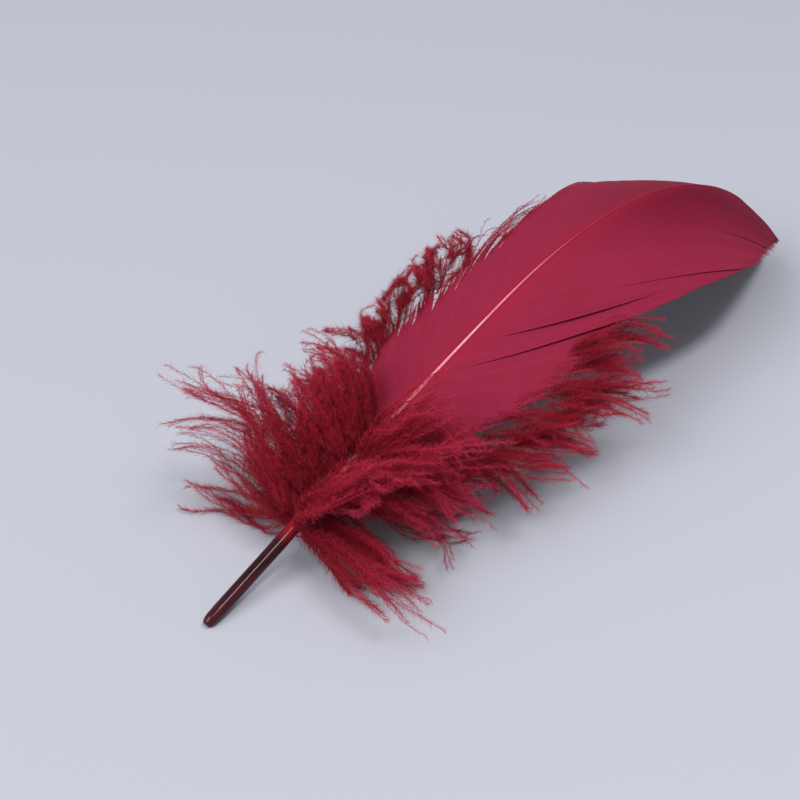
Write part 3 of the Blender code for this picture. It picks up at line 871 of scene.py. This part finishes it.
def round_section(radii, sides):
    """A regular section with the given radii, strands by rings."""
    angle = 2.0 * math.pi * np.arange(sides) / sides
    return np.stack([radii[..., None] * np.cos(angle), radii[..., None] * np.sin(angle)], axis=-1)


def down_piece(name, lines, begins, rises, seed):
    """Rami and barbules of some of the locks, as two pieces."""
    random = np.random.default_rng(seed)
    rami, share = rami_of(lines, begins, rises, random)
    tone = random.random(len(rami))
    shades = np.stack([share, np.broadcast_to(tone[:, None], share.shape)], axis=-1)
    section = round_section(RAMUS_RADIUS * (1.0 - 0.75 * share), 3)
    ramus = strands(name, rami, np.broadcast_to(SLANT, rami.shape), section, shades)
    first = np.full(len(rami), BARBULES_FROM)
    return [ramus, fuzz_piece(name + "_fuzz", rami, first, BARBULES, BARBULE_LENGTH, tone, random)]


down = []
for group in range(GROUPS):
    locks = slice(group, None, GROUPS)
    down += down_piece("down_%d" % (group + 1), FINE_LOCKS[locks], BEGINS[locks], RISES[locks],
                       DOWN_SEED + group)

# %% [markdown]
# The loose barbs of the vanes have barbules too, shorter ones. The same spikes serve as a fringe, so that the
# vane's lower edge passes into the down without a step.

# %% Fringes of the vanes
FRINGE_SEED = 77
FRINGE_BARBULES = 110
FRINGE_LENGTH = 0.0016

random = np.random.default_rng(FRINGE_SEED)
for name, lines, first in (("fringe_right", right_loose, right_from),
                           ("fringe_left", left_loose, left_from)):
    tone = random.random(len(lines))
    down.append(fuzz_piece(name, lines, first * 0.95, FRINGE_BARBULES, FRINGE_LENGTH, tone, random))

# %% [markdown]
# The finishes are sums and products of numbers that change over the surface. They could be wired up node by
# node, but it reads better as arithmetic, so a small class turns +, -, * and / into Math nodes.

# %% Shader sums
def put(tree, socket, value):
    """Set a socket to a number or colour, or link it."""
    if isinstance(value, Sum):
        value = value.socket
    if isinstance(value, bpy.types.NodeSocket):
        tree.links.new(value, socket)
    else:
        socket.default_value = value


def operator(operation, reflected=False):
    """A method that adds a Math node for self and other, in turned order if it is reflected."""
    def method(self, other):
        return self.math(operation, *((other, self) if reflected else (self, other)))
    return method


class Sum:
    """A number socket that can be added, multiplied and so on to build a chain of Math nodes."""

    def __init__(self, tree, socket):
        self.tree = tree
        self.socket = socket

    def math(self, operation, *values):
        """The result of a new Math node."""
        node = self.tree.nodes.new("ShaderNodeMath")
        node.operation = operation
        for socket, value in zip(node.inputs, values):
            put(self.tree, socket, value)
        return Sum(self.tree, node.outputs[0])

    __add__ = operator("ADD")
    __radd__ = operator("ADD", reflected=True)
    __sub__ = operator("SUBTRACT")
    __rsub__ = operator("SUBTRACT", reflected=True)
    __mul__ = operator("MULTIPLY")
    __rmul__ = operator("MULTIPLY", reflected=True)
    __truediv__ = operator("DIVIDE")
    __rtruediv__ = operator("DIVIDE", reflected=True)

    def ramp(self, start, end):
        """0 before start, 1 after end and straight between them."""
        share = (self - start) / (end - start)
        return self.math("MINIMUM", self.math("MAXIMUM", share, 0.0), 1.0)


# %% [markdown]
# One method adds any other node by its type, settings and sockets. The few kinds used here have short names.

# %% Materials out of nodes
class Surface:
    """A material whose nodes are added by type, settings and socket values."""

    def __init__(self, name):
        self.material = bpy.data.materials.new(name)
        self.material.use_nodes = True
        self.tree = self.material.node_tree
        self.shader = self.tree.nodes["Principled BSDF"]

    def node(self, kind, settings, **values):
        """Any node: its settings first, then numbers or links for its sockets, by name or by number."""
        made = self.tree.nodes.new(kind)
        for key, value in settings.items():
            setattr(made, key, value)
        for key, value in values.items():
            spot = int(key[2:]) if key.startswith("at") else key.replace("_", " ")
            put(self.tree, made.inputs[spot], value)
        return made

    def own_map(self):
        """The strand's own map as two sums: place along it and its own number."""
        made = self.node("ShaderNodeUVMap", {"uv_map": "OFBake"})
        split = self.node("ShaderNodeSeparateXYZ", {}, Vector=made.outputs[0])
        return Sum(self.tree, split.outputs[0]), Sum(self.tree, split.outputs[1])

    def place(self):
        """Object coordinates, which are metres in the feather's own frame."""
        return self.node("ShaderNodeTexCoord", {}).outputs["Object"]

    def noise(self, vector, scale, detail=2.0):
        """Noise as a sum."""
        made = self.node("ShaderNodeTexNoise", {}, Vector=vector, Scale=scale, Detail=detail)
        return Sum(self.tree, made.outputs[0])

    def stretched(self, vector, factors):
        """A vector with each axis multiplied by its own factor, so that a pattern read there grows long."""
        made = self.node("ShaderNodeVectorMath", {"operation": "MULTIPLY"}, at0=vector, at1=factors)
        return made.outputs[0]

    def mix(self, share, first, second):
        """Two colours blended by a share."""
        made = self.node("ShaderNodeMix", {"data_type": "RGBA"}, at0=share, at6=first, at7=second)
        return made.outputs[2]

    def finish(self, **values):
        """Fill the shader's sockets."""
        for key, value in values.items():
            put(self.tree, self.shader.inputs[key.replace("_", " ")], value)
        print(self.material.name, "nodes", len(self.tree.nodes))
        return self.material


# %% [markdown]
# The vane is a satin burgundy. Each barb took the dye a little differently, and a fine grain breaks the
# gloss. Towards the tip it is deeper, partly dye and partly painted shade where the vane turns away from the
# light, more so on the right vane. The barbs' roots are redder. The paler grazing angles come from sheen.

# %% Finish of the vanes
VANE_DEEP = (0.184, 0.0116, 0.031, 1.0)
VANE_LIGHT = (0.240, 0.0200, 0.049, 1.0)
VANE_ROOT = (0.27, 0.012, 0.030, 1.0)
# Tip colours: deeper dye plus painted shade, darker on the right vane, which turns further from the light.
RIGHT_TIP_DYE_AND_SHADE = (0.098, 0.0025, 0.013, 1.0)
LEFT_TIP_DYE_AND_SHADE = (0.135, 0.0100, 0.024, 1.0)
VANE_SHEEN = (1.0, 0.30, 0.45, 1.0)
BARB_STEP = 620.0
BROAD_SCALE = 42.0
FINE_SCALE = 900.0


def vane_surface(name, tip_dye_and_shade):
    """Satin burgundy that differs from barb to barb and turns to tip_dye_and_shade towards the feather's tip,
    deeper dye with painted shade.
    """
    made = Surface(name)
    share, number = made.own_map()
    barb = made.noise(made.node("ShaderNodeCombineXYZ", {}, X=number * BARB_STEP).outputs[0], 1.0)
    broad = made.noise(made.place(), BROAD_SCALE)
    fine = made.noise(made.place(), FINE_SCALE)
    light = (0.42 * barb + 0.38 * broad + 0.20 * fine).ramp(0.28, 0.72)
    colour = made.mix(light, VANE_DEEP, VANE_LIGHT)
    # Painted shade and deeper dye towards the tip.
    colour = made.mix(number.ramp(0.50, 0.75) * 0.85, colour, tip_dye_and_shade)
    colour = made.mix((1.0 - share).ramp(0.88, 1.0) * 0.4, colour, VANE_ROOT)
    return made.finish(Base_Color=colour, Roughness=0.52 + 0.14 * fine, Specular_IOR_Level=0.0,
                       Sheen_Weight=0.12, Sheen_Roughness=0.4, Sheen_Tint=VANE_SHEEN)


right_finish = vane_surface("vane_barbs_right", RIGHT_TIP_DYE_AND_SHADE)
left_finish = vane_surface("vane_barbs_left", LEFT_TIP_DYE_AND_SHADE)

# %% [markdown]
# Dyed horn is glossy and nearly black, and clear red where the pith begins. Further on the shaft is a red
# ridge, painted pale in patches as a painted highlight, which takes on the vane's tone above the middle. One
# material blended along the shaft has no seams, and a noise drawn out lengthwise is the horn's grain.

# %% Finish of the quill and shaft
HORN_DARK = (0.012, 0.002, 0.004, 1.0)
HORN_LIGHT = (0.055, 0.006, 0.012, 1.0)
PITH_DEEP = (0.200, 0.003, 0.007, 1.0)
PITH_LIGHT = (0.400, 0.012, 0.018, 1.0)
RIDGE_RED = (0.520, 0.085, 0.120, 1.0)
# Painted highlight: the pale pink stands in for the shine along the shaft's ridge.
RIDGE_PALE_HIGHLIGHT = (0.760, 0.300, 0.320, 1.0)
# Upper shaft tones: the first is lifted a little as painted light over the shade along the shaft's side; the
# second deepens with the vanes' painted tip shade.
UPPER_SHAFT = ((0.41, 0.55, (0.310, 0.022, 0.044, 1.0)), (0.55, 0.72, (0.190, 0.013, 0.032, 1.0)))
GRAIN_STRETCH = (0.12, 1.0, 1.0)
GRAIN_SCALE = 260.0
BLOTCH_SCALE = 120.0


def quill_surface():
    """Glossy near-black horn, clear red where the pith begins, then a red with a pale painted highlight in
    patches that fades up the shaft.
    """
    made = Surface("quill_horn")
    share = made.own_map()[0]
    grain = made.noise(made.stretched(made.place(), GRAIN_STRETCH), GRAIN_SCALE, 4.0)
    blotch = made.noise(made.place(), BLOTCH_SCALE)
    horn = made.mix(grain.ramp(0.38, 0.66), HORN_DARK, HORN_LIGHT)
    pith = made.mix(blotch.ramp(0.35, 0.65), PITH_DEEP, PITH_LIGHT)
    # The ridge's red, blotched with the pale painted highlight.
    ridge = made.mix(blotch.ramp(0.3, 0.7), RIDGE_RED, RIDGE_PALE_HIGHLIGHT)
    colour = made.mix((share + 0.012 * (blotch - 0.5)).ramp(0.098, 0.122), horn, pith)
    colour = made.mix(share.ramp(0.17, 0.30), colour, ridge)
    for start, end, tone in UPPER_SHAFT:
        colour = made.mix(share.ramp(start, end), colour, tone)
    rough = 0.15 + 0.18 * grain + 0.35 * share.ramp(0.40, 0.55)
    gloss = 0.30 * (1.0 - share.ramp(0.40, 0.52))
    return made.finish(Base_Color=colour, Roughness=rough, Coat_Weight=gloss, Specular_IOR_Level=0.08)


quill_finish = quill_surface()

# %% [markdown]
# Down is the same dye on thinner stuff, different from ramus to ramus, so that the strands of a lock can be
# told apart. It is deep at the roots, painted shade where little light gets in, and lighter and pinker towards
# the tips, a painted highlight.

# %% Finish of the down
DOWN_DEEP = (0.270, 0.004, 0.015, 1.0)
DOWN_LIGHT = (0.460, 0.013, 0.040, 1.0)
# Painted shade at the roots and painted highlight at the tips.
DOWN_ROOT_SHADE = (0.140, 0.002, 0.008, 1.0)
DOWN_TIP_HIGHLIGHT = (0.480, 0.026, 0.080, 1.0)
PATCH_SCALE = 90.0


def down_surface():
    """Deep red with painted shade at the root, lighter and pinker with a painted highlight at the tip."""
    made = Surface("down_barbs")
    share, number = made.own_map()
    patch = made.noise(made.place(), PATCH_SCALE)
    colour = made.mix((0.6 * number + 0.8 * patch).ramp(0.35, 1.0), DOWN_DEEP, DOWN_LIGHT)
    # Painted shade at the roots.
    colour = made.mix((1.0 - share).ramp(0.45, 1.0) * 0.7, colour, DOWN_ROOT_SHADE)
    # Painted highlight at the tips.
    colour = made.mix(share.ramp(0.55, 1.0) * 0.7, colour, DOWN_TIP_HIGHLIGHT)
    return made.finish(Base_Color=colour, Roughness=0.62 + 0.1 * patch, Specular_IOR_Level=0.2)


down_finish = down_surface()

# %% [markdown]
# Each piece gets its finish and the body that carries it. The whole feather is one body, and the imported
# solid is hidden.

# %% Finishes and bodies of the pieces
for piece, finish, slot in ((shaft, quill_finish, "quill"), (right_vane, right_finish, "vane"),
                            (left_vane, left_finish, "vane")):
    piece.data.materials.append(finish)
    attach(piece, "root")
for piece in down:
    piece.data.materials.append(down_finish)
    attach(piece, "root")
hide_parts("feather")
print("pieces of down", len(down))

# %% [markdown]
# The feather lies on a pale matt surface with no edge in sight. A broad faint noise keeps it from looking
# empty. It is scenery and isn't exported.

# %% Floor
FLOOR_HALF = 1.6
FLOOR_POINTS = 9
FLOOR_DEEP = (0.378, 0.391, 0.450, 1.0)
FLOOR_LIGHT = (0.400, 0.413, 0.468, 1.0)


def floor_piece():
    """A wide flat sheet with a faint uneven tone."""
    grid = np.linspace(-FLOOR_HALF, FLOOR_HALF, FLOOR_POINTS)
    x, y = np.meshgrid(grid, grid, indexing="ij")
    vertices = np.stack([x, y, np.zeros_like(x)], axis=-1).reshape(-1, 3)
    row = np.arange(FLOOR_POINTS - 1)
    low = (row[:, None] * FLOOR_POINTS + row).ravel()
    faces = np.stack([low, low + FLOOR_POINTS, low + FLOOR_POINTS + 1, low + 1], axis=-1)
    piece = mesh_piece("floor", vertices, faces, vertices[:, :2])
    made = Surface("floor_matt")
    colour = made.mix(made.noise(made.place(), 3.0), FLOOR_DEEP, FLOOR_LIGHT)
    piece.data.materials.append(made.finish(Base_Color=colour, Roughness=0.7, Specular_IOR_Level=0.2))
    return piece


floor = floor_piece()

# %% [markdown]
# The light is soft: a broad lamp high on the camera's left, and much light from all round, so that shadows
# are faint. A long narrow lamp draws the highlight along quill and shaft. A sun would cast hard shadows.

# %% Lamps and room
CAMERA_AT = (-0.1651, -0.1070, 0.1510)
CAMERA_TOWARDS = (-0.0166, 0.0134, 0.0010)
KEY_POWER = 30.0
KEY_SIZE = 1.26
KEY_HEIGHT = 1.15
KEY_LEFT = 1.01
KEY_NEAR = 0.90
TOP_POWER = 6.0
TOP_LENGTH = 0.50
TOP_WIDTH = 0.14
TOP_AT = (-0.02, -0.32, 0.95)
LAMPS_TOWARDS = (0.0, 0.0, 0.01)
LAMP_COLOUR = (1.0, 0.985, 0.97)
ROOM_COLOUR = (0.92, 0.95, 1.0, 1.0)
FILL_LIGHT = 0.445


def aimed(item, place, towards, roll_deg=0.0):
    """Put a lamp or camera somewhere and turn it towards a point."""
    turn = (Vector(towards) - Vector(place)).to_track_quat("-Z", "Y").to_matrix().to_4x4()
    item.matrix_world = Matrix.Translation(place) @ turn @ Matrix.Rotation(math.radians(roll_deg), 4, "Z")


def soft_lamp(name, power, length, breadth, place):
    """A rectangular lamp that shines on the feather."""
    data = bpy.data.lights.new(name, "AREA")
    data.shape = "RECTANGLE"
    data.energy = power
    data.size = length
    data.size_y = breadth
    data.color = LAMP_COLOUR
    lamp = bpy.data.objects.new(name, data)
    bpy.context.scene.collection.objects.link(lamp)
    aimed(lamp, place, LAMPS_TOWARDS)
    print(name, "lamp at", [round(v, 2) for v in place])


look = Vector(CAMERA_TOWARDS) - Vector(CAMERA_AT)
away = Vector((look.x, look.y, 0.0)).normalized()
rightwards = Vector((away.y, -away.x, 0.0))
key_at = Vector((0, 0, KEY_HEIGHT)) - rightwards * KEY_LEFT - away * KEY_NEAR
soft_lamp("key", KEY_POWER, KEY_SIZE, KEY_SIZE, key_at)
soft_lamp("top", TOP_POWER, TOP_LENGTH, TOP_WIDTH, Vector(TOP_AT))
world = bpy.data.worlds.new("soft_room")
world.use_nodes = True
background = world.node_tree.nodes["Background"]
background.inputs[0].default_value = ROOM_COLOUR
background.inputs[1].default_value = FILL_LIGHT
bpy.context.scene.world = world

# %% [markdown]
# The photo was taken obliquely from above, from the quill's side. Place, lens and a slight roll come from
# matching the shaft's line. The Standard view keeps the reds, which the default would dull.

# %% Camera
CAMERA_ROLL_DEG = 2.0
LENS_MM = 60.0

camera_data = bpy.data.cameras.new("camera")
camera_data.lens = LENS_MM
camera_data.clip_start = 0.01
camera = bpy.data.objects.new("camera", camera_data)
bpy.context.scene.collection.objects.link(camera)
aimed(camera, Vector(CAMERA_AT), CAMERA_TOWARDS, CAMERA_ROLL_DEG)
bpy.context.scene.camera = camera
bpy.context.scene.view_settings.view_transform = "Standard"
print("camera distance mm", round(look.length * 1000, 1))
